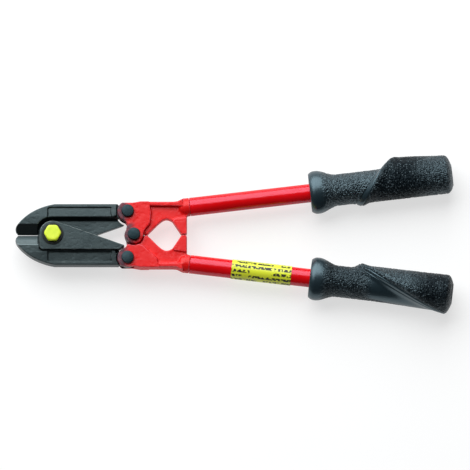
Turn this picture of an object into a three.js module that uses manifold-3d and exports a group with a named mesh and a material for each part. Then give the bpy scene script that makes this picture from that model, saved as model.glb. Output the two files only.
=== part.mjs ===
// Rescue cutter, 18-inch class: two forged lap-jointed jaws driven by two forged handle heads,
// each carrying a steel tube with a moulded grip. Millimetres, +Z up, the tool lying on its side.
// X runs from the jaws to the grips, Y across the tool, Z along every pivot.
// The origin is on the jaw pivot's axis, in the plane that the tool rests on.
import * as THREE from 'three';
import { mergeVertices } from 'three/addons/utils/BufferGeometryUtils.js';
import Module from 'manifold-3d';

const wasm = await Module();
wasm.setup();

// Clearances
const FIT = 0.3; // between parts that turn on or sit in each other
const LAP = 0.15; // each lapped part stops this far from the mid-plane

// Heights from the mid-plane, where the lapped faces meet
const MID_Z = 19.5; // the mid-plane above the resting plane
const WEB_Z = 12; // outer face of a jaw's pivot web
const BAR_Z = 8; // faces of a jaw's bar and blade
const HEAD_Z = 10; // fork cheeks and lap lobe of a handle head
const RIM_Z = 9.6; // outer rim beside the pocket
const LUG_Z = 7.5; // stop lug
const FLOOR_Z = 5.5; // pocket floor
const TONGUE_Z = 4.3; // jaw tongue in the fork
const SLOT_Z = TONGUE_Z + FIT;

// Pivots. The link pins join a jaw to a handle head, and the handle pin joins the two heads.
const LINK = new THREE.Vector2(78.6, 24.6);
const HANDLE_PIVOT = new THREE.Vector2(85.2, 0);
const BOLT_R = 5;
const PIN_R = 4;
const LINK_TRAVEL = 1.8; // play of the upper link hole across its bar, each way

// Jaws
const NOSE = -39;
const EDGE_START = -36; // the cutting edge stops short of the nose
const BLADE_END = -15.3;
const BEVEL_Y = 11; // how far the cutting bevel reaches from the edge
const BAR_OUT = 33.1;
const BAR_IN = 19.2;
const BAR_FOOT = 16.1; // where the bar's sloping inner wall meets the lap face
const WEB_OUT = 17.2;
const BOSS_R = 14.8;
const WEB_SLOPE = THREE.MathUtils.degToRad(19.5);
const WEB_TIP = 75; // where the web's free edge ends beside the handle head
const PANEL_DEPTH = 1;
const PANEL_OUT = 28.9;
const TONGUE_R = 9.4;

// Handle heads
const FORK_R = 11.5;
const LOBE_R = 10.2;
const LOBE_CLEAR_R = 10.8;
const FORK_OUT = 34.3; // outer edge beside the fork
const HEAD_OUT = 35.7; // outer edge along the pocket
const HEAD_END = 140.8; // outer face of the stop lug
const STOP_GAP = 0.3; // a lug's tip from the tool's centre plane
const FORK_SLOT_R = TONGUE_R + LINK_TRAVEL + FIT;

// Handles: the tube's axis leaves the tool's centre line at a small angle
const HANDLE_TILT = THREE.MathUtils.degToRad(6.7);
const AXIS_POINT = new THREE.Vector2(160.7, 32.4);
const TUBE_R = 9.7;
const TUBE_WALL = 2;
const TUBE_START = -17; // along the handle's axis from AXIS_POINT
const TANG_END = 22;
const NECK_START = -25;
const GRIP_START = 109.5;
const GRIP_LENGTH = 150.2;
const GRIP_END_WALL = 5;
const TUBE_END = GRIP_START + GRIP_LENGTH - GRIP_END_WALL - 3;

// Grip sections
const FLANGE_R = 22.6;
const FLANGE_FLAT = 0.863; // the flange's height over its width
const NECK_R = 16.5;
const PALM = { a: 22, b: 18.6, y: 4.6, z: 1.8 }; // half axes and offset of the palm's ellipse
const PALM_TAPER = 1.8; // what its long half axis and its offset each lose towards the end
const RIDGE = 3;
const RIDGE_WIDTH = 5.5;
const NECK_SWELL = 2.5; // what the neck gains where the ridge leaves it room towards the end
const GRIP_REST = MID_Z - 0.1; // the grips are flat underneath where they would reach the resting plane

const COLOURS = {
  jaw: [0x46504f, 0.55, 0.75],
  head: [0xd8232c, 0.42, 0.1],
  tube: [0xd8232c, 0.3, 0.1],
  pin: [0x3c434a, 0.45, 0.8],
  bolt: [0xd8ea3c, 0.5, 0.1],
  nut: [0x2a2c2e, 0.5, 0.7],
  grip: [0x23262b, 0.7, 0],
  label: [0xf2e14a, 0.35, 0],
  plug: [0x202020, 0.6, 0],
};

const finishes = Object.fromEntries(
  Object.entries(COLOURS).map(([name, [color, roughness, metalness]]) => [
    name,
    new THREE.MeshStandardMaterial({ name, color, roughness, metalness }),
  ]),
);

// ---- solids ----

function solid(geometry) {
  geometry.deleteAttribute('normal');
  geometry.deleteAttribute('uv');
  const merged = mergeVertices(geometry, 1e-4);
  return new wasm.Manifold(
    new wasm.Mesh({
      numProp: 3,
      vertProperties: new Float32Array(merged.attributes.position.array),
      triVerts: new Uint32Array(merged.index.array),
    }),
  );
}

function toGeometry(body) {
  const { vertProperties, triVerts } = body.getMesh();
  const geometry = new THREE.BufferGeometry();
  geometry.setAttribute('position', new THREE.BufferAttribute(new Float32Array(vertProperties), 3));
  geometry.setIndex(new THREE.BufferAttribute(new Uint32Array(triVerts), 1));
  return geometry;
}

const at = (x, y) => new THREE.Vector2(x, y);
const onArc = (centre, radius, degrees) => {
  const angle = THREE.MathUtils.degToRad(degrees);
  return at(centre.x + radius * Math.cos(angle), centre.y + radius * Math.sin(angle));
};

// Points of an arc about a centre, from one angle to the other in degrees.
function arc(centre, radius, from, to, steps = Math.ceil(Math.abs(to - from) / 12)) {
  return Array.from({ length: steps + 1 }, (_, i) => onArc(centre, radius, from + ((to - from) * i) / steps));
}

function plate(points, low, high) {
  const geometry = new THREE.ExtrudeGeometry(new THREE.Shape(points), {
    depth: high - low,
    bevelEnabled: false,
  });
  geometry.translate(0, 0, low);
  return solid(geometry);
}

// A drop-forged plate: widest at the mid-plane, with its walls drafted inwards to both faces.
function forged(points, half, draft) {
  const land = 0.2;
  const geometry = new THREE.ExtrudeGeometry(new THREE.Shape(points), {
    depth: land,
    bevelEnabled: true,
    bevelThickness: half - land / 2,
    bevelSize: draft,
    bevelOffset: -draft,
    bevelSegments: 1,
  });
  geometry.translate(0, 0, -land / 2);
  return solid(geometry);
}

function disc(centre, radius, low, high, sides = 28) {
  return plate(arc(centre, radius, 0, 360 - 360 / sides, sides - 1), low, high);
}

// The outline swept by a disc that slides along Y, each way.
function slot(centre, radius, travel, low, high) {
  const top = at(centre.x, centre.y + travel);
  const bottom = at(centre.x, centre.y - travel);
  return plate([...arc(top, radius, 0, 180, 16), ...arc(bottom, radius, 180, 360, 16)], low, high);
}

function box(x0, x1, y0, y1, z0, z1) {
  const geometry = new THREE.BoxGeometry(x1 - x0, y1 - y0, z1 - z0);
  geometry.translate((x0 + x1) / 2, (y0 + y1) / 2, (z0 + z1) / 2);
  return solid(geometry);
}

// A turned part about the Z axis, from [radius, height] pairs that start and end on the axis.
function turned(profile, sides = 28) {
  const geometry = new THREE.LatheGeometry(
    profile.map(([r, h]) => at(r, h)),
    sides,
  );
  geometry.rotateX(Math.PI / 2);
  return solid(geometry);
}

const ORIGIN = at(0, 0);
const below = (z) => box(-60, 200, -60, 60, -40, z);
const above = (z) => box(-60, 200, -60, 60, z, 40);

// ---- jaw, drawn as the upper one: its web is the lower half of the lap joint ----

// Where an arc about the link pin meets a height y, on the jaw's side.
const linkArcX = (radius, y) => LINK.x - Math.sqrt(radius ** 2 - (y - LINK.y) ** 2);

// The web's free edge is a straight line touching the boss.
const tangent = onArc(ORIGIN, BOSS_R, -90 + THREE.MathUtils.radToDeg(WEB_SLOPE));
const webEdgeY = (x) => tangent.y + Math.tan(WEB_SLOPE) * (x - tangent.x);

function jaw(travel) {
  const nose = new THREE.SplineCurve([
    at(NOSE, 6),
    at(-38.2, 9.6),
    at(-34.6, 14.4),
    at(-30, 18.8),
    at(-23.6, 23.6),
    at(-15.2, 28),
    at(-6, 31.3),
    at(2, BAR_OUT),
  ]).getPoints(18);
  const bar = forged(
    [
      at(EDGE_START, LAP),
      at(NOSE + 0.6, 3),
      ...nose,
      at(70, BAR_OUT),
      at(68, BAR_IN),
      ...arc(ORIGIN, BAR_IN, 90, 141),
      at(BLADE_END, LAP),
    ].reverse(),
    BAR_Z,
    0.9,
  );
  const innerSlope = forged(
    [at(68, 28), at(68, BAR_FOOT), ...arc(ORIGIN, BAR_FOOT, 90, 156), at(-24, 8), at(-24, 16), at(-10, 28)].reverse(),
    BAR_Z,
    BAR_IN - BAR_FOOT,
  ).intersect(above(0));
  const backing = plate(
    [at(-22, LAP), at(BLADE_END + 2, LAP), at(BLADE_END + 2, 15), at(66, 15), at(66, 24), at(-10, 24), at(-22, 16)],
    -BAR_Z,
    -LAP,
  );
  const web = forged(
    [
      ...arc(ORIGIN, BOSS_R, -90 + THREE.MathUtils.radToDeg(WEB_SLOPE), -180),
      at(-BOSS_R, WEB_OUT - 3),
      at(-BOSS_R + 3, WEB_OUT),
      at(78, WEB_OUT),
      at(78, webEdgeY(78)),
    ].reverse(),
    WEB_Z,
    1,
  ).intersect(below(-LAP));

  // The rear end is hollowed round the handle head's fork, and a tongue runs on into the fork.
  // Only the web's pointed tip runs on below the fork, to just short of the head's waist.
  const forkRoom = slot(LINK, FORK_R + 0.5, travel, -20, 20)
    .add(box(LINK.x - 6, 90, 14, 45, -20, 20))
    .add(box(WEB_TIP, 90, 0, 20, -20, 20));
  const tongue = disc(LINK, TONGUE_R, -TONGUE_Z, TONGUE_Z).add(
    box(62, LINK.x, LINK.y - 7, LINK.y + 7, -TONGUE_Z, TONGUE_Z),
  );
  let body = bar.add(innerSlope).add(backing).add(web).subtract(forkRoom).add(tongue);

  // Cutting bevels on both faces, stopping at the blade's end.
  for (const side of [1, -1]) {
    const bevel = plate([at(-2, 0.3), at(LAP, 0.3), at(BEVEL_Y, BAR_Z), at(BEVEL_Y, 20), at(-2, 20)], 0, 60);
    const cut = bevel
      .rotate([90, 0, 90])
      .translate([BLADE_END - 60, 0, 0])
      .scale([1, 1, side]);
    body = body.subtract(cut);
    const panel = plate(
      [
        at(-5.2, BAR_IN - 1),
        at(-5.2, PANEL_OUT - 1.5),
        at(-3.7, PANEL_OUT),
        ...arc(LINK, 17.5, 166, 193, 4),
        at(linkArcX(17.5, BAR_IN - 1), BAR_IN - 1),
      ].reverse(),
      BAR_Z - PANEL_DEPTH,
      20,
    ).scale([1, 1, side]);
    const webFace = box(-60, 90, -40, WEB_OUT + 0.6, -20, side > 0 ? -20.1 : 0);
    body = body.subtract(side > 0 ? panel : panel.subtract(webFace));
  }

  return body
    .subtract(disc(ORIGIN, BOLT_R + FIT, -20, 20))
    .subtract(slot(LINK, PIN_R + FIT, travel, -20, 20));
}

// ---- handle head, drawn as the upper one: its lobe is the upper half of the lap joint ----

const alongHandle = (s, out = 0) =>
  at(
    AXIS_POINT.x + s * Math.cos(HANDLE_TILT) - out * Math.sin(HANDLE_TILT),
    AXIS_POINT.y + s * Math.sin(HANDLE_TILT) + out * Math.cos(HANDLE_TILT),
  );

function ontoHandle(body) {
  return body
    .rotate([0, 90, 0])
    .rotate([0, 0, THREE.MathUtils.radToDeg(HANDLE_TILT)])
    .translate([AXIS_POINT.x, AXIS_POINT.y, 0]);
}

function handleHead() {
  const forkTop = 180 - THREE.MathUtils.radToDeg(Math.asin((FORK_OUT - LINK.y) / FORK_R));
  const fork = arc(LINK, FORK_R, forkTop, 255);
  const waist = at(77.7, 10.8);
  const vCorner = at(99.6, STOP_GAP);
  const holeSide = at(110.4, 11.2);
  const holeTop = new THREE.SplineCurve([
    holeSide,
    at(115.6, 15.3),
    at(120, 16.4),
    at(125, 14.4),
  ]).getPoints(8);
  const lugTip = [at(133.6, 1.6), at(135, STOP_GAP), at(HEAD_END - 1, STOP_GAP), at(HEAD_END, STOP_GAP + 1)];
  const rimEnd = alongHandle(NECK_START + 2, TUBE_R);

  const plateOutline = [
    ...fork,
    waist,
    at(84, 6),
    at(92, STOP_GAP),
    vCorner,
    ...holeTop,
    ...lugTip,
    at(HEAD_END, 19.5),
    alongHandle(NECK_START + 5, -TUBE_R + 1),
    alongHandle(NECK_START + 5, TUBE_R - 1),
    rimEnd,
    at(131, HEAD_OUT + 0.5),
    at(126, HEAD_OUT),
    at(92, HEAD_OUT),
    at(84, FORK_OUT),
  ];
  const floor = forged(plateOutline, FLOOR_Z, 0.5);

  // The thick block holds the fork and reaches the lobe; the lobe side and the far side differ.
  const blockLine = [at(103.6, 24), at(102.6, 11.5), at(96.6, 4)];
  const lobe = arc(HANDLE_PIVOT, LOBE_R, 0, -215);
  const lobeSide = forged(
    [
      ...fork,
      waist,
      ...lobe.reverse(),
      ...blockLine.reverse(),
      at(101.5, HEAD_OUT),
      at(92, HEAD_OUT),
      at(84, FORK_OUT),
    ],
    HEAD_Z,
    0.8,
  ).intersect(above(0));
  const farSide = forged(
    [
      ...fork,
      waist,
      ...arc(HANDLE_PIVOT, LOBE_CLEAR_R, 118, 62, 4),
      at(94.5, 11.2),
      at(109.5, 24.5),
      at(112, HEAD_OUT),
      at(92, HEAD_OUT),
      at(84, FORK_OUT),
    ],
    HEAD_Z,
    0.8,
  ).intersect(below(0));

  const rim = forged(
    [at(98, HEAD_OUT), at(98, 29.4), at(138, 28.8), rimEnd, at(129, HEAD_OUT)],
    RIM_Z,
    1.4,
  );
  const lug = forged(
    [at(125.4, 14), at(126.6, 17), at(HEAD_END, 19), ...[...lugTip].reverse()].reverse(),
    LUG_Z,
    0.6,
  );

  // The neck's domed end stands out of the pocket, and the tang runs into the tube.
  const dome = [0, 30, 60, 90].map((degrees) => {
    const angle = THREE.MathUtils.degToRad(degrees);
    return [TUBE_R * Math.sin(angle), NECK_START + 2 - 8 * Math.cos(angle)];
  });
  const neck = ontoHandle(
    turned([
      ...dome,
      [TUBE_R, TUBE_START - FIT],
      [TUBE_R - TUBE_WALL - FIT, TUBE_START - FIT],
      [TUBE_R - TUBE_WALL - FIT, TANG_END - 1],
      [TUBE_R - TUBE_WALL - 1.3, TANG_END],
      [0, TANG_END],
    ]),
  );

  const lapRoom = disc(HANDLE_PIVOT, LOBE_CLEAR_R, -20, LAP, 48);
  const forkSlot = disc(LINK, FORK_SLOT_R, -SLOT_Z, SLOT_Z, 40).add(
    box(60, LINK.x, LINK.y - FORK_SLOT_R, 50, -SLOT_Z, SLOT_Z),
  );
  return floor
    .add(lobeSide)
    .add(farSide)
    .add(rim)
    .add(lug)
    .subtract(lapRoom)
    .subtract(forkSlot)
    .add(neck)
    .subtract(disc(LINK, PIN_R + FIT, -20, 20))
    .subtract(disc(HANDLE_PIVOT, PIN_R + FIT, -20, 20));
}

// ---- fasteners ----

const HEX_FLATS = 16;
const HEX_CROWN_R = 7.4; // where the corners' chamfer meets the flat face
const HEX_BLUNT_R = 8.8; // the corners are turned off to this radius
const HEX_CHAMFER = 0.8;

// A hexagonal prism whose corners a cone chamfers at its front or its rear face.
function hexagon(low, high, chamferedInFront) {
  const prism = plate(arc(ORIGIN, HEX_FLATS / 2 / Math.cos(Math.PI / 6), 0, 300, 5), low, high);
  const front = chamferedInFront
    ? [[HEX_BLUNT_R, high - HEX_CHAMFER], [HEX_CROWN_R, high], [0, high]]
    : [[HEX_BLUNT_R, high + 1], [0, high + 1]];
  const rear = chamferedInFront
    ? [[0, low - 1], [HEX_BLUNT_R, low - 1]]
    : [[0, low], [HEX_CROWN_R, low], [HEX_BLUNT_R, low + HEX_CHAMFER]];
  return prism.intersect(turned([...rear, ...front], 36));
}

const washer = (outer, inner, low, high) =>
  disc(ORIGIN, outer, low, high).subtract(disc(ORIGIN, inner, low - 1, high + 1, 20));

const PIVOT_WASHER_R = 11.2;
const FRONT_WASHER = [WEB_Z + 0.2, WEB_Z + 1.6];
const BOLT_HEAD = [WEB_Z + 1.8, WEB_Z + 8.1];
const REAR_WASHER = [-WEB_Z - 1.6, -WEB_Z - 0.2];
const NUT = [-WEB_Z - 7.2, -WEB_Z - 1.8];

const jawBolt = hexagon(...BOLT_HEAD, true).add(
  turned([
    [0, -MID_Z],
    [BOLT_R - 0.8, -MID_Z],
    [BOLT_R, -MID_Z + 0.8],
    [BOLT_R, BOLT_HEAD[0] + 1],
    [0, BOLT_HEAD[0] + 1],
  ]),
);
const jawNut = hexagon(...NUT, false).subtract(disc(ORIGIN, BOLT_R + FIT, -30, 0));

// A link or handle pin: flat round head in front, upset tail over its washer behind.
const PIN_HEAD_R = 6.5;
const pinWasher = washer(6.6, PIN_R + FIT, -HEAD_Z - 1.4, -HEAD_Z - 0.2);
const pin = turned([
  [0, -HEAD_Z - 3.4],
  [4.2, -HEAD_Z - 3.2],
  [5.4, -HEAD_Z - 2.3],
  [5.4, -HEAD_Z - 1.6],
  [PIN_R, -HEAD_Z - 1.6],
  [PIN_R, HEAD_Z + 0.2],
  [PIN_HEAD_R, HEAD_Z + 0.2],
  [PIN_HEAD_R, HEAD_Z + 2.9],
  [PIN_HEAD_R - 1, HEAD_Z + 3.8],
  [0, HEAD_Z + 4],
]);

// ---- handle tube and what it carries ----

const tube = ontoHandle(
  turned(
    [
      [TUBE_R - TUBE_WALL, TUBE_START],
      [TUBE_R, TUBE_START],
      [TUBE_R, TUBE_END],
      [TUBE_R - TUBE_WALL, TUBE_END],
      [TUBE_R - TUBE_WALL, TUBE_START],
    ],
    28,
  ),
);

const LABEL = [26.9, 89.6];
const LABEL_R = [TUBE_R + 0.25, TUBE_R + 0.6];
const label = ontoHandle(
  turned(
    [
      [LABEL_R[0], LABEL[0]],
      [LABEL_R[1], LABEL[0]],
      [LABEL_R[1], LABEL[1]],
      [LABEL_R[0], LABEL[1]],
      [LABEL_R[0], LABEL[0]],
    ],
    36,
  ),
);

const PLUG_R = TUBE_R - TUBE_WALL - FIT;
const plug = ontoHandle(
  turned(
    [
      [0, TUBE_END - 14],
      [PLUG_R - 1, TUBE_END - 14],
      [PLUG_R, TUBE_END - 12],
      [PLUG_R, TUBE_END + 0.2],
      [TUBE_R - 0.5, TUBE_END + 0.2],
      [TUBE_R - 0.5, TUBE_END + 2],
      [0, TUBE_END + 2],
    ],
    24,
  ),
);

// A moulded grip: round flange, narrow neck, then an off-centre oval palm behind a twisting ridge.
// hand is 1 or -1 for the two mirrored mouldings, and lobe is where the palm's crest points. The
// ridge lies at a mean distance along the grip, and swings and leans about it on the way round.
function grip({ hand, lobe, mean, swing, lean, kink }) {
  const geometry = new THREE.CylinderGeometry(1, 1, 1, 24, 24);
  const place = geometry.attributes.position;
  const smooth = THREE.MathUtils.smoothstep;
  for (let i = 0; i < place.count; i += 1) {
    const rim = Math.hypot(place.getX(i), place.getZ(i));
    const around = Math.atan2(place.getZ(i), place.getX(i));
    const t = 0.5 - place.getY(i);
    const s = GRIP_LENGTH * (0.55 * t + 0.225 * (1 - Math.cos(Math.PI * t)));
    const turn = hand * around;
    const ridgeAt = mean + swing * Math.cos(turn) + lean * Math.sin(turn) + kink * Math.sin(2 * turn);
    const slope = -swing * Math.sin(turn) + lean * Math.cos(turn) + 2 * kink * Math.cos(2 * turn);
    const past = (s - ridgeAt) / Math.hypot(1, slope / NECK_R);
    const flange = 1 - smooth(s, 8, 28);
    const palm = smooth(past, -7, 7);
    const taper = PALM_TAPER * smooth(s, 95, GRIP_LENGTH);
    const ridge = RIDGE * Math.exp(-((past / RIDGE_WIDTH) ** 2));
    const start = 1 - 0.12 * Math.max(0, 1 - s / 6) ** 2;
    const end = Math.sqrt(Math.max(0.3, 1 - Math.max(0, (s - GRIP_LENGTH + 7) / 8) ** 2));
    const waist = NECK_R + (FLANGE_R - NECK_R) * flange + NECK_SWELL * smooth(s, 60, GRIP_LENGTH);
    const neck = waist * (1 - palm) + ridge;
    const angle = hand * (around - lobe);
    const y = (neck + palm * (PALM.a - taper)) * Math.cos(angle) + palm * (PALM.y - taper);
    const z = (neck + palm * PALM.b) * Math.sin(angle) + palm * PALM.z;
    const out = rim * start * end * (y * Math.cos(lobe) - hand * z * Math.sin(lobe));
    const up = rim * start * end * (y * Math.sin(lobe) + hand * z * Math.cos(lobe));
    const lifted = up * (1 - (1 - FLANGE_FLAT) * flange);
    place.setXYZ(i, GRIP_START + s, out, hand * Math.max(hand * lifted, -GRIP_REST));
  }
  const bore = ontoHandle(
    turned([
      [0, GRIP_START - 5],
      [TUBE_R + FIT, GRIP_START - 5],
      [TUBE_R + FIT, TUBE_END + 2.4],
      [0, TUBE_END + 2.4],
    ]),
  );
  return solid(geometry)
    .rotate([0, 0, THREE.MathUtils.radToDeg(HANDLE_TILT)])
    .translate([AXIS_POINT.x, AXIS_POINT.y, 0])
    .subtract(bore);
}

const UPPER_GRIP = { hand: 1, lobe: 0, mean: 70, swing: 17, lean: 0, kink: -2 };
const LOWER_GRIP = {
  hand: -1,
  lobe: THREE.MathUtils.degToRad(-75),
  mean: 97,
  swing: 46,
  lean: -10,
  kink: -2.5,
};

// ---- assembly ----

const cutter = new THREE.Group();
const tool = new THREE.Group();
const lowerSide = new THREE.Group();
tool.position.z = MID_Z;
lowerSide.rotation.x = Math.PI; // the lower half is the upper half turned over
tool.add(lowerSide);
cutter.add(tool);

function piece(parent, name, body, finish, x = 0, y = 0) {
  const mesh = new THREE.Mesh(toGeometry(body), finishes[finish]);
  mesh.name = name;
  mesh.position.set(x, y, 0);
  parent.add(mesh);
}

piece(tool, 'upper_jaw', jaw(LINK_TRAVEL), 'jaw');
piece(lowerSide, 'lower_jaw', jaw(0), 'jaw');
piece(tool, 'jaw_pivot_bolt', jawBolt, 'bolt');
piece(tool, 'jaw_pivot_front_washer', washer(PIVOT_WASHER_R, BOLT_R + FIT, ...FRONT_WASHER), 'nut');
piece(tool, 'jaw_pivot_rear_washer', washer(PIVOT_WASHER_R, BOLT_R + FIT, ...REAR_WASHER), 'nut');
piece(tool, 'jaw_pivot_nut', jawNut, 'nut');

const head = handleHead();
for (const [parent, side, moulding] of [
  [tool, 'upper', UPPER_GRIP],
  [lowerSide, 'lower', LOWER_GRIP],
]) {
  piece(parent, `${side}_handle_head`, head, 'head');
  piece(parent, `${side}_handle_tube`, tube, 'tube');
  piece(parent, `${side}_tube_plug`, plug, 'plug');
  piece(parent, `${side}_grip`, grip(moulding), 'grip');
}
piece(lowerSide, 'tube_label', label, 'label');

for (const [name, x, y] of [
  ['upper_link', LINK.x, LINK.y],
  ['lower_link', LINK.x, -LINK.y],
  ['handle_pivot', HANDLE_PIVOT.x, HANDLE_PIVOT.y],
]) {
  piece(tool, `${name}_pin`, pin, 'pin', x, y);
  piece(tool, `${name}_washer`, pinWasher, 'nut', x, y);
}

export default cutter;
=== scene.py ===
"""Rescue cutter with forged jaws, red compound handles and moulded grips, lying on its side."""
import math

import bmesh
import bpy
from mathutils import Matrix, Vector, noise


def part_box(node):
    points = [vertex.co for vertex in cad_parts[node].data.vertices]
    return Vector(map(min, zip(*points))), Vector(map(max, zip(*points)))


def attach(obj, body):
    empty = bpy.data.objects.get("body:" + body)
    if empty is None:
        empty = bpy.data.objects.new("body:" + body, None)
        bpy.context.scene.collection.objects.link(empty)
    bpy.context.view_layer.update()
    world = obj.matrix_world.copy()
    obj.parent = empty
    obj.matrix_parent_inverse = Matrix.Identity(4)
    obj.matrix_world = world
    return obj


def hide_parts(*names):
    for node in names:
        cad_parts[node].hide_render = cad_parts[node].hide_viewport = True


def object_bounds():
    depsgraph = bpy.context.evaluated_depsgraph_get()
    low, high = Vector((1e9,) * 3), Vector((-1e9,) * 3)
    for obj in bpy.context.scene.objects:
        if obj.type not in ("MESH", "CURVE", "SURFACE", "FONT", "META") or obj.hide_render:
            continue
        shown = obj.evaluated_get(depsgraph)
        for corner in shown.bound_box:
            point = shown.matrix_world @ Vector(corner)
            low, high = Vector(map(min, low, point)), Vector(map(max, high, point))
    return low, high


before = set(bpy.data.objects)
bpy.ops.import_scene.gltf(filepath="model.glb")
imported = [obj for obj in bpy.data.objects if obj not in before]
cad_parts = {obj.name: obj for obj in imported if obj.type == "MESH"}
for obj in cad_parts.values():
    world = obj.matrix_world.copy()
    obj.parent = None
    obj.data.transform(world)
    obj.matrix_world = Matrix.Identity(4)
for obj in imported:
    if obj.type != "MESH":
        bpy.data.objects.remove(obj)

cad_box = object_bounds()


# ---------------------------------------------------------------- camera, light and floor
# The cutter lies on a pale table, seen from almost straight above, a little from the lower handle's side.
# One large soft lamp hangs over the upper handle and reaches from overhead nearly down to the table.

VIEW_WIDTH = 0.492
VIEW_TILT = math.radians(10)
VIEW_DISTANCE = 1.5
VIEW_CENTRE = Vector((0.19095, 0.0007, 0.0195))  # on the plane where the lapped pieces meet
ROOM_GLOW = 0.05
TABLE_HALF = 3.0
TABLE_GLOW = 0.66

middle = (cad_box[0] + cad_box[1]) / 2
towards_camera = Vector((0, -math.sin(VIEW_TILT), math.cos(VIEW_TILT)))
camera = bpy.data.objects.new("camera", bpy.data.cameras.new("camera"))
camera.data.type = "ORTHO"
camera.data.ortho_scale = VIEW_WIDTH
camera.data.clip_end = 10
camera.location = VIEW_CENTRE + VIEW_DISTANCE * towards_camera
camera.rotation_euler = towards_camera.to_track_quat("Z", "Y").to_euler()
bpy.context.scene.collection.objects.link(camera)
bpy.context.scene.camera = camera
bpy.context.scene.view_settings.view_transform = "Standard"


def lamp(name, direction, distance, size, power, colour):
    """A rectangular soft lamp that faces the middle of the tool from a direction."""
    light = bpy.data.lights.new(name, "AREA")
    light.shape = "RECTANGLE"
    light.size, light.size_y = size
    light.energy = power
    light.color = colour
    holder = bpy.data.objects.new(name, light)
    holder.location = middle + distance * Vector(direction).normalized()
    holder.rotation_euler = Vector(direction).to_track_quat("Z", "Y").to_euler()
    bpy.context.scene.collection.objects.link(holder)


lamp(
    "overhead_softbox", direction=(-0.3, 0.72, 0.75), distance=2.6, size=(3.6, 3.2), power=150,
    colour=(0.97, 0.99, 1.0),
)

room = bpy.data.worlds.new("room")
room.use_nodes = True
room.node_tree.nodes["Background"].inputs["Color"].default_value = (0.95, 0.98, 1.0, 1)
room.node_tree.nodes["Background"].inputs["Strength"].default_value = ROOM_GLOW
bpy.context.scene.world = room

floor_mesh = bpy.data.meshes.new("floor")
floor_corners = [(x * TABLE_HALF, y * TABLE_HALF, 0) for x, y in ((-1, -1), (1, -1), (1, 1), (-1, 1))]
floor_mesh.from_pydata(floor_corners, [], [(0, 1, 2, 3)])
floor = bpy.data.objects.new("floor", floor_mesh)
bpy.context.scene.collection.objects.link(floor)

paper = bpy.data.materials.new("white_table")
paper.use_nodes = True
paper_skin = paper.node_tree.nodes["Principled BSDF"]
paper_skin.inputs["Base Color"].default_value = (0.36, 0.36, 0.36, 1)
paper_skin.inputs["Emission Color"].default_value = (1, 1, 1, 1)
paper_skin.inputs["Emission Strength"].default_value = TABLE_GLOW
paper_skin.inputs["Roughness"].default_value = 0.8
floor_mesh.materials.append(paper)


# ---------------------------------------------------------------- jaws
# Two jaws drop-forged from tool steel, lapped on each other at the pivot and blackened in oil.
# The cutting bevels are ground after hardening, and the edges rub bright in use; the webs' bright edges are
# also a painted highlight, and the hollows get painted shade.

JAW_VOXEL = 0.00045
JAW_EASING = 4
BLADE_END = -0.0153
BEVEL_REACH = 0.011
WEB_REACH = 0.0175  # the pivot webs lie within this distance of the cutting line
BAR_INSIDE = 0.019
BAR_DRAFT = 0.055  # slope of the bars' faces
SCALE_RELIEF = 0.00012


def material(name, colour, roughness, metallic=0.0):
    """A material with a Principled skin, and its node tree ready for more."""
    made = bpy.data.materials.new(name)
    made.use_nodes = True
    skin = made.node_tree.nodes["Principled BSDF"]
    skin.inputs["Base Color"].default_value = (*colour, 1)
    skin.inputs["Roughness"].default_value = roughness
    skin.inputs["Metallic"].default_value = metallic
    return made, made.node_tree, skin


def group(name, inputs, outputs):
    """An empty shader node group with named inputs, given as name: default, and named outputs."""
    tree = bpy.data.node_groups.new(name, "ShaderNodeTree")
    for label, value in inputs.items():
        socket = tree.interface.new_socket(label, in_out="INPUT", socket_type="NodeSocketFloat")
        socket.default_value = value
    for label in outputs:
        tree.interface.new_socket(label, in_out="OUTPUT", socket_type="NodeSocketFloat")
    return tree, tree.nodes.new("NodeGroupInput"), tree.nodes.new("NodeGroupOutput")


def place(tree, effect, **values):
    """Puts a node group in a tree, with values for its inputs by name, underscores for spaces."""
    node = tree.nodes.new("ShaderNodeGroup")
    node.node_tree = effect
    for label, value in values.items():
        node.inputs[label.replace("_", " ")].default_value = value
    return node


def math_of(tree, kind, a, b=0, clamp=False):
    """A Math node of the given kind on one or two values, each a socket or a number."""
    node = tree.nodes.new("ShaderNodeMath")
    node.operation = kind
    node.use_clamp = clamp
    for socket, value in zip(node.inputs, (a, b)):
        if isinstance(value, (int, float)):
            socket.default_value = value
        else:
            tree.links.new(value, socket)
    return node.outputs[0]


def noise_of(tree, scale, detail=2.0, roughness=0.5, where=None):
    """Noise over the object's own metres, or over another vector."""
    node = tree.nodes.new("ShaderNodeTexNoise")
    node.inputs["Detail"].default_value = detail
    node.inputs["Roughness"].default_value = roughness
    if isinstance(scale, (int, float)):
        node.inputs["Scale"].default_value = scale
    else:
        tree.links.new(scale, node.inputs["Scale"])
    if where is None:
        where = tree.nodes.new("ShaderNodeTexCoord").outputs["Object"]
    tree.links.new(where, node.inputs["Vector"])
    return node.outputs["Fac"]


def ramp(tree, value, low, high, to_low=0.0, to_high=1.0):
    """A value stretched from one range to another and held at its ends."""
    node = tree.nodes.new("ShaderNodeMapRange")
    for label, number in zip(("From Min", "From Max", "To Min", "To Max"), (low, high, to_low, to_high)):
        if isinstance(number, (int, float)):
            node.inputs[label].default_value = number
        else:
            tree.links.new(number, node.inputs[label])
    tree.links.new(value, node.inputs["Value"])
    return node.outputs["Result"]


def blend_colours(tree, share, first, second):
    """Two colours, each a socket or a colour, mixed by a share."""
    node = tree.nodes.new("ShaderNodeMix")
    node.data_type = "RGBA"
    factor, colour_a, colour_b = node.inputs[0], node.inputs[6], node.inputs[7]
    for socket, value in ((factor, share), (colour_a, first), (colour_b, second)):
        if isinstance(value, tuple):
            socket.default_value = (*value, 1)
        else:
            tree.links.new(value, socket)
    return node.outputs[2]


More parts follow.
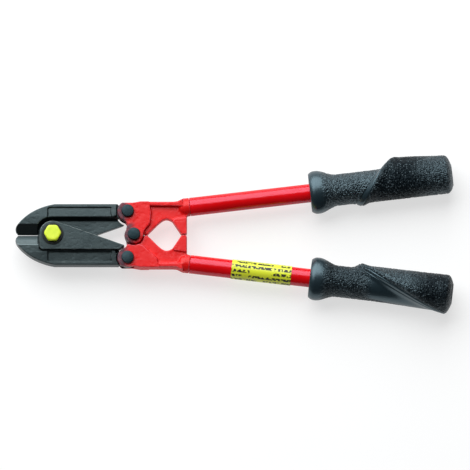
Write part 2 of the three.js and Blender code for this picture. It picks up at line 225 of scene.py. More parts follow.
def bump(tree, skin, height, distance):
    """Tips a skin's normal by a height, where a height of 1 stands a distance in metres proud."""
    node = tree.nodes.new("ShaderNodeBump")
    node.inputs["Strength"].default_value = 1.0
    node.inputs["Distance"].default_value = distance
    tree.links.new(height, node.inputs["Height"])
    tree.links.new(node.outputs["Normal"], skin.inputs["Normal"])


# Rubbed edges: the convex edges, broken up so that the wear comes and goes, and a mask of the hollow
# corners that takes painted shade.
edge_wear_and_hollow_shade, given, result = group(
    "edge_wear_and_hollow_shade", {"Start": 0.53, "Full": 0.6, "Patch Size": 90.0}, ("Mask", "Hollow Shade")
)
sharpness = edge_wear_and_hollow_shade.nodes.new("ShaderNodeNewGeometry").outputs["Pointiness"]
edge = ramp(edge_wear_and_hollow_shade, sharpness, given.outputs["Start"], given.outputs["Full"])
patches = ramp(edge_wear_and_hollow_shade, noise_of(edge_wear_and_hollow_shade, given.outputs["Patch Size"], 4), 0.35, 0.62)
edge_wear_and_hollow_shade.links.new(math_of(edge_wear_and_hollow_shade, "MULTIPLY", edge, patches, True), result.inputs["Mask"])
edge_wear_and_hollow_shade.links.new(ramp(edge_wear_and_hollow_shade, sharpness, 0.5, 0.44), result.inputs["Hollow Shade"])

# Forged skin: shallow die marks and scale pits.
forged_skin, given, result = group(
    "forged_skin", {"Grain Size": 700.0, "Pit Size": 260.0}, ("Height", "Tone")
)
grain = noise_of(forged_skin, given.outputs["Grain Size"], 5, 0.6)
pits = ramp(forged_skin, noise_of(forged_skin, given.outputs["Pit Size"], 3, 0.55), 0.32, 0.52)
forged_skin.links.new(math_of(forged_skin, "ADD", grain, pits), result.inputs["Height"])
fine_tone = math_of(forged_skin, "MULTIPLY", grain, 0.6)
tone = math_of(forged_skin, "ADD", noise_of(forged_skin, 38.0, 3), fine_tone)
forged_skin.links.new(ramp(forged_skin, tone, 0.5, 1.1), result.inputs["Tone"])

blackened, tree, skin = material("blackened_forging", (0.06, 0.085, 0.09), roughness=0.42, metallic=0.85)
wear_and_shade = place(tree, edge_wear_and_hollow_shade, Start=0.52, Full=0.56, Patch_Size=160.0)
forging = place(tree, forged_skin)
oiled = blend_colours(tree, forging.outputs["Tone"], (0.031, 0.044, 0.047), (0.054, 0.072, 0.075))
# Painted shade: the forging is darkened in its hollow corners.
hollow_shaded_forging = blend_colours(tree, wear_and_shade.outputs["Hollow Shade"], oiled, (0.006, 0.009, 0.01))
spot = tree.nodes.new("ShaderNodeTexCoord").outputs["Object"]
axes = tree.nodes.new("ShaderNodeSeparateXYZ")
tree.links.new(spot, axes.inputs["Vector"])
off_edge = math_of(tree, "ABSOLUTE", axes.outputs["Y"])

# The webs rub on each other and wear bright at their edges, the bars hardly at all; this bright edge is
# partly wear and partly a painted highlight.
on_web = ramp(tree, off_edge, WEB_REACH + 0.001, WEB_REACH - 0.0005, 0.15, 1)
wear_and_highlight_share = math_of(tree, "MULTIPLY", wear_and_shade.outputs["Mask"], on_web)
with_bright_edges = blend_colours(tree, wear_and_highlight_share, hollow_shaded_forging, (0.42, 0.46, 0.45))

# The ground bevels: brighter than the scale, with the wheel's fine lines along the blade.
in_blade = ramp(tree, axes.outputs["X"], BLADE_END + 0.0006, BLADE_END - 0.0002)
in_bevel = ramp(tree, off_edge, BEVEL_REACH + 0.0003, BEVEL_REACH - 0.0002)
ground = math_of(tree, "MULTIPLY", in_blade, in_bevel, True)
stretched = tree.nodes.new("ShaderNodeMapping")
stretched.inputs["Scale"].default_value = (30, 1500, 1500)
tree.links.new(spot, stretched.inputs["Vector"])
wheel_lines = noise_of(tree, 1.0, 3, 0.6, stretched.outputs["Vector"])
bright = blend_colours(tree, wheel_lines, (0.08, 0.105, 0.11), (0.14, 0.17, 0.175))
tree.links.new(blend_colours(tree, ground, with_bright_edges, bright), skin.inputs["Base Color"])
tree.links.new(ramp(tree, ground, 0, 1, 0.85, 1.0), skin.inputs["Metallic"])
rough = ramp(tree, forging.outputs["Tone"], 0, 1, 0.34, 0.46)
tree.links.new(ramp(tree, ground, 0, 1, rough, 0.3), skin.inputs["Roughness"])

# The bars' faces fall away a little towards the outside, as the dies' draft leaves them.
over_bar = math_of(tree, "MAXIMUM", off_edge, BAR_INSIDE)
falling = math_of(tree, "MULTIPLY", over_bar, -BAR_DRAFT / SCALE_RELIEF)
relief = math_of(tree, "MULTIPLY", forging.outputs["Height"], ramp(tree, ground, 0, 1, 0.7, 0))
lines = math_of(tree, "MULTIPLY", math_of(tree, "MULTIPLY", wheel_lines, ground), 0.25)
skin_relief = math_of(tree, "ADD", relief, lines)
bump(tree, skin, math_of(tree, "ADD", skin_relief, falling), SCALE_RELIEF)


def reskin(node, skin_material, voxel, easing):
    """Keeps a CAD piece's shape, but gives it a fine even skin with the eased edges of a forging."""
    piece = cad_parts[node]
    skin_mesh = piece.modifiers.new("even_skin", "REMESH")
    skin_mesh.mode = "VOXEL"
    skin_mesh.voxel_size = voxel
    skin_mesh.use_smooth_shade = True
    ease = piece.modifiers.new("eased_edges", "SMOOTH")
    ease.factor = 0.5
    ease.iterations = easing
    for material_slot in piece.material_slots:
        material_slot.material = skin_material


for node in ("upper_jaw", "lower_jaw"):
    reskin(node, blackened, JAW_VOXEL, JAW_EASING)


# ---------------------------------------------------------------- jaw pivot
# A hexagon-headed bolt through both jaws, coated in lime yellow, on a black washer in front.
# A black washer and a self-locking nut close it behind.

HEX_FLATS = 0.016
HEX_BLUNT = 0.0088  # the radius to which the hexagon's corners are turned off
CROWN = 0.0074  # the radius of the flat inside the chamfer
CHAMFER_SLOPE = 0.6
EDGE_BREAK = 0.0004
HEAD_HEIGHT = 0.0063
SHANK_R = 0.005
NUT_BORE_R = 0.0053
RIM_ROUNDING = 0.0003
EASING_STEPS = 4
UPWARDS = Vector((0, 0, 1))


def turned(name, rings, foot, along, body, replaced, finish, sides=96, closed=False):
    """A turned piece: rings of (height, radius) about an axis, each a number or a function of the angle."""
    up = along.normalized()
    side = Vector((1, 0, 0)) if abs(up.x) < 0.5 else UPWARDS
    side = (side - side.dot(up) * up).normalized()
    other = up.cross(side)
    angles = [2 * math.pi * k / sides for k in range(sides)]

    def at(part, angle):
        return part(angle) if callable(part) else part

    points = [
        foot + at(height, a) * up + at(radius, a) * (math.cos(a) * side + math.sin(a) * other)
        for height, radius in rings
        for a in angles
    ]
    return finished(name, points, ring_faces(len(rings), sides, closed), body, replaced, finish)


def ring_faces(rings, sides, closed=False):
    """The faces that join rings of points, and the last ring to the first if the section is closed."""
    faces = []
    for ring_at in range(rings if closed else rings - 1):
        here = ring_at * sides
        ahead = (ring_at + 1) % rings * sides
        for k in range(sides):
            beside = (k + 1) % sides
            faces.append((here + k, here + beside, ahead + beside, ahead + k))
    return faces


def finished(name, points, faces, body, replaced, finish, sharp=35):
    """Turns points and faces into a piece that rides on a body in place of a CAD node."""
    mesh = bpy.data.meshes.new(name)
    mesh.from_pydata([tuple(p) for p in points], [], faces)
    shape = bmesh.new()
    shape.from_mesh(mesh)
    bmesh.ops.remove_doubles(shape, verts=shape.verts, dist=1e-7)
    bmesh.ops.recalc_face_normals(shape, faces=shape.faces)
    shape.to_mesh(mesh)
    shape.free()
    mesh.polygons.foreach_set("use_smooth", [True] * len(mesh.polygons))
    mesh.set_sharp_from_angle(angle=math.radians(sharp))
    mesh.materials.append(finish)
    piece = bpy.data.objects.new(name, mesh)
    bpy.context.scene.collection.objects.link(piece)
    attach(piece, body)
    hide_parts(replaced)
    return piece


def eased(corners, radius, closed=False):
    """A profile with each corner rounded off."""
    last = len(corners)
    rounded = []
    for at, corner in enumerate(corners):
        if not closed and at in (0, last - 1):
            rounded.append(corner)
            continue
        here = Vector(corner)
        before = Vector(corners[at - 1]) - here
        after = Vector(corners[(at + 1) % last]) - here
        enter = here + before.normalized() * min(radius, before.length * 0.45)
        leave = here + after.normalized() * min(radius, after.length * 0.45)
        for step in range(EASING_STEPS + 1):
            t = step / EASING_STEPS
            rounded.append(tuple(enter * (1 - t) ** 2 + here * 2 * t * (1 - t) + leave * t**2))
    return rounded


def hex_radius(angle):
    """A hexagon's outline, its corners slightly blunt."""
    return min(HEX_FLATS / 2 / math.cos(angle % (math.pi / 3) - math.pi / 6), HEX_BLUNT)


def chamfer(angle, inset=0.0):
    """How far the cone that turns off the corners falls below the crown at the hexagon's outline."""
    return CHAMFER_SLOPE * max(0.0, hex_radius(angle) - inset - CROWN)


coating, tree, skin = material("lime_coating", (0.72, 0.88, 0.03), roughness=0.4)
wear_and_shade = place(tree, edge_wear_and_hollow_shade, Start=0.56, Full=0.68, Patch_Size=300.0)
patches = ramp(tree, noise_of(tree, 160.0, 4), 0.35, 0.7)
mottle = blend_colours(tree, patches, (0.66, 0.84, 0.03), (0.78, 0.92, 0.05))
with_bright_edges = blend_colours(tree, wear_and_shade.outputs["Mask"], mottle, (0.86, 0.95, 0.25))
tree.links.new(with_bright_edges, skin.inputs["Base Color"])
tree.links.new(ramp(tree, noise_of(tree, 500.0, 3), 0.3, 0.7, 0.32, 0.5), skin.inputs["Roughness"])
bump(tree, skin, noise_of(tree, 900.0, 3), 0.00006)

black_oxide, tree, skin = material("black_oxide_steel", (0.01, 0.011, 0.012), roughness=0.5, metallic=0.5)
wear_and_shade = place(tree, edge_wear_and_hollow_shade, Start=0.54, Full=0.66, Patch_Size=260.0)
oxide = blend_colours(tree, noise_of(tree, 240.0, 4), (0.006, 0.008, 0.008), (0.018, 0.022, 0.022))
with_bright_edges = blend_colours(tree, wear_and_shade.outputs["Mask"], oxide, (0.07, 0.075, 0.075))
tree.links.new(with_bright_edges, skin.inputs["Base Color"])
tree.links.new(ramp(tree, noise_of(tree, 600.0, 3), 0.3, 0.7, 0.42, 0.62), skin.inputs["Roughness"])
bump(tree, skin, noise_of(tree, 1400.0, 2), 0.00004)

low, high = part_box("jaw_pivot_bolt")
bolt_top = high.z
bolt_bottom = low.z
under_head = bolt_top - HEAD_HEIGHT
bolt_rings = [
    (bolt_top, 0.0),
    (bolt_top - 0.0001, 0.003),
    (bolt_top, 0.0055),
    (bolt_top, CROWN - EDGE_BREAK),
    (bolt_top - 0.0001, CROWN),
    (lambda a: bolt_top - 0.0001 - chamfer(a, 0.0003), lambda a: hex_radius(a) - 0.0003),
    (lambda a: bolt_top - 0.0003 - chamfer(a), lambda a: hex_radius(a) - 0.00004),
    (lambda a: bolt_top - 0.0006 - chamfer(a), hex_radius),
    (under_head + EDGE_BREAK, hex_radius),
    (under_head, lambda a: hex_radius(a) - EDGE_BREAK),
    (under_head, SHANK_R),
    (bolt_bottom + 0.0009, SHANK_R),
    (bolt_bottom + 0.0004, SHANK_R - 0.0003),
    (bolt_bottom, SHANK_R - 0.0009),
    (bolt_bottom, 0.0),
]
bolt = turned("hexagon_bolt", bolt_rings, Vector(), UPWARDS, "lower_jaw", "jaw_pivot_bolt", coating)


def ring(name, node, body, finish, bore):
    """A flat washer with rounded rims, in place of a CAD washer."""
    low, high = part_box(node)
    centre = Vector(((low.x + high.x) / 2, (low.y + high.y) / 2, 0))
    outer = (high.x - low.x) / 2
    corners = [(low.z, bore), (low.z, outer), (high.z, outer), (high.z, bore)]
    profile = eased(corners, RIM_ROUNDING, closed=True)
    piece = turned(name, profile, centre, UPWARDS, body, node, finish, sides=72, closed=True)


for side in ("front", "rear"):
    node = f"jaw_pivot_{side}_washer"
    ring(f"{side}_pivot_washer", node, "lower_jaw", black_oxide, NUT_BORE_R)

low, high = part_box("jaw_pivot_nut")
nut_rings = [
    (high.z, NUT_BORE_R),
    (low.z + 0.0003, NUT_BORE_R),
    (low.z, NUT_BORE_R + 0.0005),
    (low.z, CROWN),
    (lambda a: low.z + 0.0001 + chamfer(a, 0.0003), lambda a: hex_radius(a) - 0.0003),
    (lambda a: low.z + EDGE_BREAK + chamfer(a), hex_radius),
    (high.z - EDGE_BREAK, hex_radius),
    (high.z, lambda a: hex_radius(a) - EDGE_BREAK),
]
nut = turned(
    "self_locking_nut", nut_rings, Vector(), UPWARDS, "lower_jaw", "jaw_pivot_nut", black_oxide, closed=True
)


# ---------------------------------------------------------------- handle heads
# Two drop forgings, pocketed to save weight, with a fork for the jaw and a lapped lobe at the pivot.
# They are shot-blasted and powder-coated red, so the coat rounds every edge; painted shade darkens the
# corners and a pink painted highlight lies on the edges.

HEAD_VOXEL = 0.00045
HEAD_EASING = 9
LINK_PIN = (0.0786, 0.0246)  # one each side of the centre line
HANDLE_PIN = (0.0852, 0.0)
ROSE_GREY_R = 0.0135

red_coat, tree, skin = material("red_powder_coat", (0.74, 0.006, 0.01), roughness=0.33)
wear_and_shade = place(tree, edge_wear_and_hollow_shade, Start=0.51, Full=0.56, Patch_Size=140.0)
forging = place(tree, forged_skin, Grain_Size=520.0, Pit_Size=170.0)
shades = ramp(tree, noise_of(tree, 30.0, 3), 0.35, 0.65)
coat = blend_colours(tree, shades, (0.72, 0.005, 0.005), (0.82, 0.01, 0.009))
# Painted shade darkens the coat in its hollow corners, and a pink painted highlight lights the convex
# edges.
coat_with_hollow_shade = blend_colours(tree, wear_and_shade.outputs["Hollow Shade"], coat, (0.6, 0.002, 0.003))
coat_with_edge_highlight = blend_colours(tree, wear_and_shade.outputs["Mask"], coat_with_hollow_shade, (0.95, 0.2, 0.27))

# The coat is blended to a dark rose grey on the jaw's side of each pin.
spot = tree.nodes.new("ShaderNodeTexCoord").outputs["Object"]
axes = tree.nodes.new("ShaderNodeSeparateXYZ")
tree.links.new(spot, axes.inputs["Vector"])
folded = tree.nodes.new("ShaderNodeCombineXYZ")
tree.links.new(axes.outputs["X"], folded.inputs["X"])
tree.links.new(math_of(tree, "ABSOLUTE", axes.outputs["Y"]), folded.inputs["Y"])
rose_grey_share = 0
for pin_x, pin_y in (LINK_PIN, HANDLE_PIN):
    reach = tree.nodes.new("ShaderNodeVectorMath")
    reach.operation = "DISTANCE"
    tree.links.new(folded.outputs["Vector"], reach.inputs[0])
    reach.inputs[1].default_value = (pin_x, pin_y, 0)
    near_pin = ramp(tree, reach.outputs["Value"], ROSE_GREY_R, ROSE_GREY_R - 0.003)
    jaw_side = ramp(tree, axes.outputs["X"], pin_x + 0.002, pin_x - 0.004)
    rose_grey_share = math_of(tree, "MAXIMUM", rose_grey_share, math_of(tree, "MULTIPLY", near_pin, jaw_side))
rose_grey_patches = math_of(tree, "MULTIPLY", rose_grey_share, ramp(tree, noise_of(tree, 300.0, 3), 0.25, 0.6, 0.8, 1.0))
rose_grey_coat = blend_colours(tree, rose_grey_patches, coat_with_edge_highlight, (0.075, 0.04, 0.055))
tree.links.new(rose_grey_coat, skin.inputs["Base Color"])
tree.links.new(ramp(tree, noise_of(tree, 260.0, 4), 0.3, 0.7, 0.26, 0.42), skin.inputs["Roughness"])

# The rough walls hardly mirror the table where they are seen edge-on.
grazing = tree.nodes.new("ShaderNodeLayerWeight").outputs["Facing"]
tree.links.new(ramp(tree, grazing, 0.45, 0.85, 0.4, 0.02), skin.inputs["Specular IOR Level"])
skin.inputs["Specular Tint"].default_value = (1.0, 0.8, 0.84, 1)
bump(tree, skin, forging.outputs["Height"], 0.00013)

for node in ("upper_handle_head", "lower_handle_head"):
    reskin(node, red_coat, HEAD_VOXEL, HEAD_EASING)


# ---------------------------------------------------------------- link pins and handle pin
# Three blued steel pins with flat forged heads in front, each upset over a washer behind.
# The outer two carry the jaws, and the middle one joins the handle heads.

PIN_R = 0.004
PIN_HEAD_R = 0.0065
PIN_HEAD_DEPTH = 0.0038
PIN_TAIL_R = 0.0054
PIN_TAIL_DEPTH = 0.0018
PIN_ROUNDING = 0.0009
PIN_CLEARANCE = 0.0003

blued, tree, skin = material("blued_steel", (0.03, 0.05, 0.058), roughness=0.42, metallic=1.0)
wear_and_shade = place(tree, edge_wear_and_hollow_shade, Start=0.53, Full=0.62, Patch_Size=200.0)
shades = ramp(tree, noise_of(tree, 130.0, 4), 0.3, 0.7)
blue = blend_colours(tree, shades, (0.017, 0.032, 0.038), (0.036, 0.056, 0.064))
with_bright_edges = blend_colours(tree, wear_and_shade.outputs["Mask"], blue, (0.12, 0.13, 0.15))
tree.links.new(with_bright_edges, skin.inputs["Base Color"])
tree.links.new(ramp(tree, noise_of(tree, 420.0, 3), 0.3, 0.7, 0.36, 0.54), skin.inputs["Roughness"])
bump(tree, skin, noise_of(tree, 700.0, 4), 0.00012)

pin_bodies = {"upper_link": "upper_handle", "lower_link": "lower_handle", "handle_pivot": "lower_handle"}
for joint, body in pin_bodies.items():
    low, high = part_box(f"{joint}_pin")
    centre = Vector(((low.x + high.x) / 2, (low.y + high.y) / 2, 0))
    corners = [
        (low.z, 0.0),
        (low.z + 0.0001, 0.0042),
        (low.z + 0.0010, PIN_TAIL_R),
        (low.z + PIN_TAIL_DEPTH, PIN_TAIL_R),
        (low.z + PIN_TAIL_DEPTH, PIN_R),
        (high.z - PIN_HEAD_DEPTH, PIN_R),
        (high.z - PIN_HEAD_DEPTH, PIN_HEAD_R),
        (high.z - 0.0003, PIN_HEAD_R),
        (high.z, 0.0),
    ]
    profile = eased(corners, PIN_ROUNDING)
    pin = turned(f"{joint}_rivet", profile, centre, UPWARDS, body, f"{joint}_pin", blued, sides=72)
    ring(f"{joint}_ring", f"{joint}_washer", body, black_oxide, PIN_R + PIN_CLEARANCE)


# ---------------------------------------------------------------- handle tubes
# Drawn steel tubes pushed over the heads' tangs, and powder-coated a smooth glossy red.
# A moulded plug closes each tube inside its grip.

TUBE_WALL = 0.002
TUBE_ROUNDING = 0.0005

glossy_red, tree, skin = material("glossy_red_tube", (0.76, 0.012, 0.02), roughness=0.2)
shades = ramp(tree, noise_of(tree, 24.0, 2), 0.35, 0.65)
coat = blend_colours(tree, shades, (0.7, 0.001, 0.002), (0.78, 0.003, 0.006))
tree.links.new(coat, skin.inputs["Base Color"])
tree.links.new(ramp(tree, noise_of(tree, 180.0, 3), 0.3, 0.7, 0.15, 0.26), skin.inputs["Roughness"])
skin.inputs["Specular Tint"].default_value = (1.0, 0.72, 1.0, 1)
grazing = tree.nodes.new("ShaderNodeLayerWeight").outputs["Facing"]
tree.links.new(ramp(tree, grazing, 0.35, 0.8, 0.55, 0.08), skin.inputs["Specular IOR Level"])
waves = math_of(tree, "MULTIPLY", noise_of(tree, 60.0, 2), 1.5)
orange_peel = math_of(tree, "ADD", noise_of(tree, 330.0, 2), waves)
bump(tree, skin, orange_peel, 0.00004)

plug_plastic, tree, skin = material("black_plug_plastic", (0.02, 0.02, 0.022), roughness=0.55)
shade = blend_colours(tree, noise_of(tree, 300.0, 3), (0.014, 0.014, 0.016), (0.03, 0.03, 0.032))
tree.links.new(shade, skin.inputs["Base Color"])
bump(tree, skin, noise_of(tree, 1200.0, 2), 0.00004)


def corners_of(node):
    """A CAD node's own points."""
    return [vertex.co.copy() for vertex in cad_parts[node].data.vertices]


tube_axis = {}
for side in ("upper", "lower"):
    points = corners_of(f"{side}_handle_tube")
    half_way = sum(p.x for p in points) / len(points)
    near_end = [p for p in points if p.x < half_way]
    far_end = [p for p in points if p.x > half_way]
    near = sum(near_end, Vector()) / len(near_end)
    far = sum(far_end, Vector()) / len(far_end)
    along = (far - near).normalized()
    length = (far - near).length
    outer = max((p - near).cross(along).length for p in points)
    tube_axis[side] = (near, along, outer)
    corners = [(0, outer - TUBE_WALL), (0, outer), (length, outer), (length, outer - TUBE_WALL)]
    tube = turned(
        f"{side}_tube", eased(corners, TUBE_ROUNDING, closed=True), near, along,
        f"{side}_handle", f"{side}_handle_tube", glossy_red, closed=True,
    )
    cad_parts[f"{side}_tube_plug"].material_slots[0].material = plug_plastic


# ---------------------------------------------------------------- label
# A yellow plastic film wrapped round the lower tube, printed in black.
# The print here is rows of plain broken marks, with no words.

ROW_PITCH = 0.0054
ROW_JUMP = 7.31  # how far the noise of one row of marks lies from the next one's
GROUP_JUMP = 3.77
MARK_WIDTHS = 420  # noise steps in a metre of row
GROUP_WIDTHS = 60
MARK_HEIGHT = 1.6
LABEL_RINGS = 24

film, tree, skin = material("yellow_label_film", (0.86, 0.8, 0.04), roughness=0.3)
printed = tree.nodes.new("ShaderNodeAttribute")
printed.attribute_name = "wrap"
wrap = tree.nodes.new("ShaderNodeSeparateXYZ")
tree.links.new(printed.outputs["Vector"], wrap.inputs["Vector"])
row_place = math_of(tree, "DIVIDE", wrap.outputs["Y"], ROW_PITCH)
row = math_of(tree, "FLOOR", row_place)
in_row = math_of(tree, "FRACT", row_place)
row_band = math_of(tree, "MULTIPLY", ramp(tree, in_row, 0.16, 0.22), ramp(tree, in_row, 0.8, 0.74))
seat = tree.nodes.new("ShaderNodeCombineXYZ")
tree.links.new(math_of(tree, "MULTIPLY", wrap.outputs["X"], MARK_WIDTHS), seat.inputs["X"])
row_start = math_of(tree, "MULTIPLY", row, ROW_JUMP)
up_mark = math_of(tree, "MULTIPLY", in_row, MARK_HEIGHT)
tree.links.new(math_of(tree, "ADD", row_start, up_mark), seat.inputs["Y"])
marks = ramp(tree, noise_of(tree, 1.0, 1, 0.5, seat.outputs["Vector"]), 0.45, 0.47)
long_seat = tree.nodes.new("ShaderNodeCombineXYZ")
tree.links.new(math_of(tree, "MULTIPLY", wrap.outputs["X"], GROUP_WIDTHS), long_seat.inputs["X"])
tree.links.new(math_of(tree, "MULTIPLY", row, GROUP_JUMP), long_seat.inputs["Y"])
groups = ramp(tree, noise_of(tree, 1.0, 0, 0.5, long_seat.outputs["Vector"]), 0.34, 0.36)
ink = math_of(tree, "MULTIPLY", math_of(tree, "MULTIPLY", marks, groups), row_band, True)
film_tone = blend_colours(tree, noise_of(tree, 60.0, 3), (0.76, 0.82, 0.03), (0.8, 0.86, 0.05))
tree.links.new(blend_colours(tree, ink, film_tone, (0.02, 0.02, 0.015)), skin.inputs["Base Color"])
tree.links.new(ramp(tree, ink, 0, 1, 0.3, 0.5), skin.inputs["Roughness"])
bump(tree, skin, noise_of(tree, 240.0, 2), 0.00003)

near, along, outer = tube_axis["lower"]
places = [(p - near).dot(along) for p in corners_of("tube_label")]
radii = [(p - near).cross(along).length for p in corners_of("tube_label")]
start, end, inside, outside = min(places), max(places), min(radii), max(radii)
outer_rings = [(start + (end - start) * i / LABEL_RINGS, outside) for i in range(LABEL_RINGS + 1)]
label_rings = [(start, inside), *outer_rings, (end, inside)]
label = turned("wrapped_label", label_rings, near, along, "lower_handle", "tube_label", film, closed=True)
wrap_places = label.data.attributes.new("wrap", "FLOAT_VECTOR", "POINT")
across = UPWARDS.cross(along).normalized()
for vertex, value in zip(label.data.vertices, wrap_places.data):
    off = vertex.co - near
    value.vector = (off.dot(along), math.atan2(off.z, off.dot(across)) * outside, 0)


# ---------------------------------------------------------------- grips
# Moulded rubber over the tube ends: a round flange, a waist for the forefinger, and an oval palm.
# A smooth band twists round between waist and palm, and both are pebbled for wet gloves.
# The sizes are in millimetres, and places along a grip are counted from its open end.

GRIP_RINGS = 300
GRIP_SIDES = 260
FLANGE_R = 22.6
FLANGE_FLAT = 0.863
FLANGE_FADE = (8, 28)
MOUTH = 6
MOUTH_PULL = 0.12
NECK_R = 16.5
NECK_SWELL = 2.5
SWELL_FROM = 60
PALM_RISE = 7  # the waist turns into the palm over this much each side of the ridge
PALM_HALF = (22.0, 18.6)
PALM_OFFSET = (4.6, 1.8)
PALM_TAPER = 1.8
TAPER_FROM = 95
TIP = 7
TIP_CURVE = 8
TIP_LEAST = 0.3
RIDGE = 3.0
RIDGE_WIDTH = 5.5
BAND_FADE = 12
CREASE = 0.8
CREASE_WIDTH = 0.55
CREASES_FROM = (24, 30)
REST = 19.3  # flat underneath where it would reach the table
PEBBLES_FROM = (10, 19)
BEAD = 2.0
BEAD_HEIGHT = 0.45
BEAD_SPREAD = 0.62
BEAD_SINK = 0.6
END_WALL = 5
BORE_GAP = 0.3

rubber, tree, skin = material("pebbled_rubber", (0.003, 0.005, 0.007), roughness=0.4)
pebbled = tree.nodes.new("ShaderNodeAttribute")
pebbled.attribute_name = "pebbled"
share = pebbled.outputs["Fac"]
unhandled = tree.nodes.new("ShaderNodeAttribute")
unhandled.attribute_name = "unhandled"
cloudy = ramp(tree, noise_of(tree, 45.0, 3), 0.3, 0.6, 0.7, 1.0)
matte = math_of(tree, "MULTIPLY", unhandled.outputs["Fac"], cloudy)

# Fine beads between the moulded ones, with some of their tops painted light as glints.
beads = tree.nodes.new("ShaderNodeTexVoronoi")
beads.inputs["Scale"].default_value = 620.0
tree.links.new(tree.nodes.new("ShaderNodeTexCoord").outputs["Object"], beads.inputs["Vector"])
bead_kind = tree.nodes.new("ShaderNodeSeparateColor")
tree.links.new(beads.outputs["Color"], bead_kind.inputs["Color"])
domes = ramp(tree, beads.outputs["Distance"], 0.0, 0.75, 1.0, 0.0)
chosen = ramp(tree, bead_kind.outputs["Red"], 0.62, 0.9)
glinting_bead_tops = math_of(tree, "MULTIPLY", ramp(tree, domes, 0.35, 0.75), chosen)
painted_glints = math_of(tree, "MULTIPLY", glinting_bead_tops, share)
mottle = blend_colours(tree, noise_of(tree, 420.0, 3), (0.0008, 0.0012, 0.002), (0.006, 0.01, 0.014))
# The smooth parts are a lighter blue grey, partly the rubber's own colour and partly painted sheen.
smooth_sheen_and_mottle = blend_colours(tree, share, (0.009, 0.018, 0.024), mottle)
tree.links.new(blend_colours(tree, painted_glints, smooth_sheen_and_mottle, (0.13, 0.17, 0.19)), skin.inputs["Base Color"])
tree.links.new(ramp(tree, share, 0, 1, 0.33, 0.36), skin.inputs["Roughness"])
tree.links.new(ramp(tree, matte, 0, 1, 1.0, 0.1), skin.inputs["Specular IOR Level"])
skin.inputs["Specular Tint"].default_value = (0.62, 0.88, 1.0, 1)
grain = math_of(tree, "ADD", domes, math_of(tree, "MULTIPLY", noise_of(tree, 1500.0, 3, 0.6), 0.4))
bump(tree, skin, math_of(tree, "MULTIPLY", grain, ramp(tree, share, 0, 1, 0.04, 1)), 0.0006)


def smoothstep(value, low, high):
    """Rises smoothly from 0 at the low value to 1 at the high one."""
    t = min(max((value - low) / (high - low), 0), 1)
    return t * t * (3 - 2 * t)


def grip_point(s, around, length, form):
    """How far out and up from the axis the surface lies, then its pebbling, crease and mattness."""
    hand, lobe = form["hand"], form["lobe"]
    turn = hand * around
    swing, lean, kink = form["swing"], form["lean"], form["kink"]
    ridge_at = form["mean"] + swing * math.cos(turn) + lean * math.sin(turn) + kink * math.sin(2 * turn)
    slope = -swing * math.sin(turn) + lean * math.cos(turn) + 2 * kink * math.cos(2 * turn)
    past = (s - ridge_at) / math.hypot(1, slope / NECK_R)

    flange = 1 - smoothstep(s, *FLANGE_FADE)
    palm = smoothstep(past, -PALM_RISE, PALM_RISE)
    taper = PALM_TAPER * smoothstep(s, TAPER_FROM, length)
    ridge = RIDGE * math.exp(-((past / RIDGE_WIDTH) ** 2))
    rounding = 1 - MOUTH_PULL * max(0, 1 - s / MOUTH) ** 2
    rounding *= math.sqrt(max(TIP_LEAST, 1 - max(0, (s - length + TIP) / TIP_CURVE) ** 2))
    waist = NECK_R + (FLANGE_R - NECK_R) * flange + NECK_SWELL * smoothstep(s, SWELL_FROM, length)
    neck = waist * (1 - palm) + ridge
    angle = hand * (around - lobe)
    y = (neck + palm * (PALM_HALF[0] - taper)) * math.cos(angle) + palm * (PALM_OFFSET[0] - taper)
    z = (neck + palm * PALM_HALF[1]) * math.sin(angle) + palm * PALM_OFFSET[1]
    out = rounding * (y * math.cos(lobe) - hand * z * math.sin(lobe))
    up = rounding * (y * math.sin(lobe) + hand * z * math.cos(lobe))
    up *= 1 - (1 - FLANGE_FLAT) * flange
    up = hand * max(hand * up, -REST)

    band_start = smoothstep(past, -form["band"] - form["fade"], -form["band"])
    band = band_start * (1 - smoothstep(past, -0.3, 0.5))
    band *= smoothstep(s, form["band_from"], form["band_from"] + BAND_FADE)
    share = smoothstep(s, *PEBBLES_FROM) * (1 - band)
    creases = sum(math.exp(-(((past + gap) / CREASE_WIDTH) ** 2)) for gap in form["creases"])
    crease = CREASE * creases * smoothstep(s, *CREASES_FROM)
    return out, up, share, crease, share * form["matte"](s, palm)


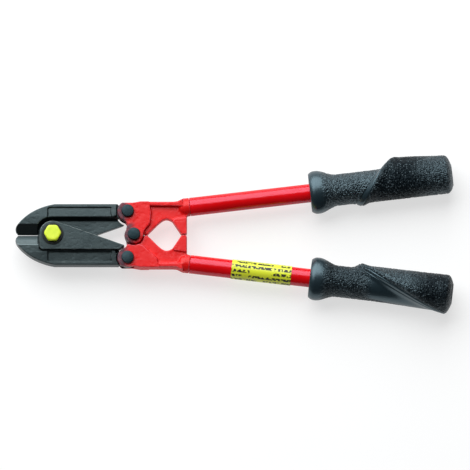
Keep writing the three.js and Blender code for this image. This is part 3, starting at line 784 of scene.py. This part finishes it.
def mould_grip(side, form):
    """One grip with its bore, its moulded beads and its two painted-on shares."""
    near, along, outer = tube_axis[side]
    places = [(p - near).dot(along) for p in corners_of(f"{side}_grip")]
    start, length = min(places), (max(places) - min(places)) * 1000
    up_way = Vector((0, 0, 1 if side == "upper" else -1))
    out_way = up_way.cross(along).normalized()
    turns = [2 * math.pi * k / GRIP_SIDES for k in range(GRIP_SIDES)]
    points, shares, mattes = [], [], []
    for at in range(GRIP_RINGS + 1):
        s = length * at / GRIP_RINGS
        for around in turns:
            out, up, share, crease, matte = grip_point(s, around, length, form)
            away = out_way * out + up_way * up
            spot = near + along * (start + s / 1000) + away / 1000
            cell = noise.voronoi(spot * 1000 / BEAD)[0][0]
            bead = BEAD_HEIGHT * max(0, 1 - (cell / BEAD_SPREAD) ** 2) * share
            raised = bead - BEAD_HEIGHT * BEAD_SINK * share - crease
            points.append(spot + away.normalized() * raised / 1000)
            shares.append(share)
            mattes.append(matte)

    # The bore, in from the open end, and the closed ends of the bore and of the grip.
    bore_depth = (length - END_WALL) / 1000
    for depth in (0.0, bore_depth):
        for around in turns:
            way = out_way * math.cos(around) + up_way * math.sin(around)
            points.append(near + along * (start + depth) + way * (outer + BORE_GAP / 1000))
    points.append(near + along * (start + bore_depth))
    points.append(near + along * (start + length / 1000))
    unmoulded = 2 * GRIP_SIDES + 1
    shares += [0.0] * unmoulded + [1.0]
    mattes += [0.0] * unmoulded + [1.0]

    faces = ring_faces(GRIP_RINGS + 1, GRIP_SIDES)
    outer_end = GRIP_RINGS * GRIP_SIDES
    mouth = outer_end + GRIP_SIDES
    depth_end = mouth + GRIP_SIDES
    bore_centre = depth_end + GRIP_SIDES
    tip = bore_centre + 1
    for k in range(GRIP_SIDES):
        n = (k + 1) % GRIP_SIDES
        faces.append((k, n, mouth + n, mouth + k))
        faces.append((mouth + k, mouth + n, depth_end + n, depth_end + k))
        faces.append((depth_end + k, depth_end + n, bore_centre))
        faces.append((outer_end + k, outer_end + n, tip))
    piece = finished(f"{side}_moulded_grip", points, faces, f"{side}_handle", f"{side}_grip", rubber, 60)
    for label, values in (("pebbled", shares), ("unhandled", mattes)):
        piece.data.attributes.new(label, "FLOAT", "POINT").data.foreach_set("value", values)


# Each form gives how the ridge runs round the grip (its mean place, swing, lean and kink), the width
# and fade of the smooth band before it and where that starts, the creases, and where the rubber is matte.
mould_grip(
    "upper",
    {
        "hand": 1, "lobe": 0, "mean": 70, "swing": 17, "lean": 0, "kink": -2,
        "band": 5.5, "fade": 1, "band_from": 20, "creases": (0, 5.5),
        "matte": lambda s, palm: palm * (1 - 0.7 * smoothstep(s, 105, 135)),
    },
)
mould_grip(
    "lower",
    {
        "hand": -1, "lobe": math.radians(-75), "mean": 97, "swing": 46, "lean": -10, "kink": -2.5,
        "band": 30, "fade": 8, "band_from": 56, "creases": (0, 2.6),
        "matte": lambda s, palm: 0.65 * (1 - palm) + palm * smoothstep(s, 95, 125),
    },
)
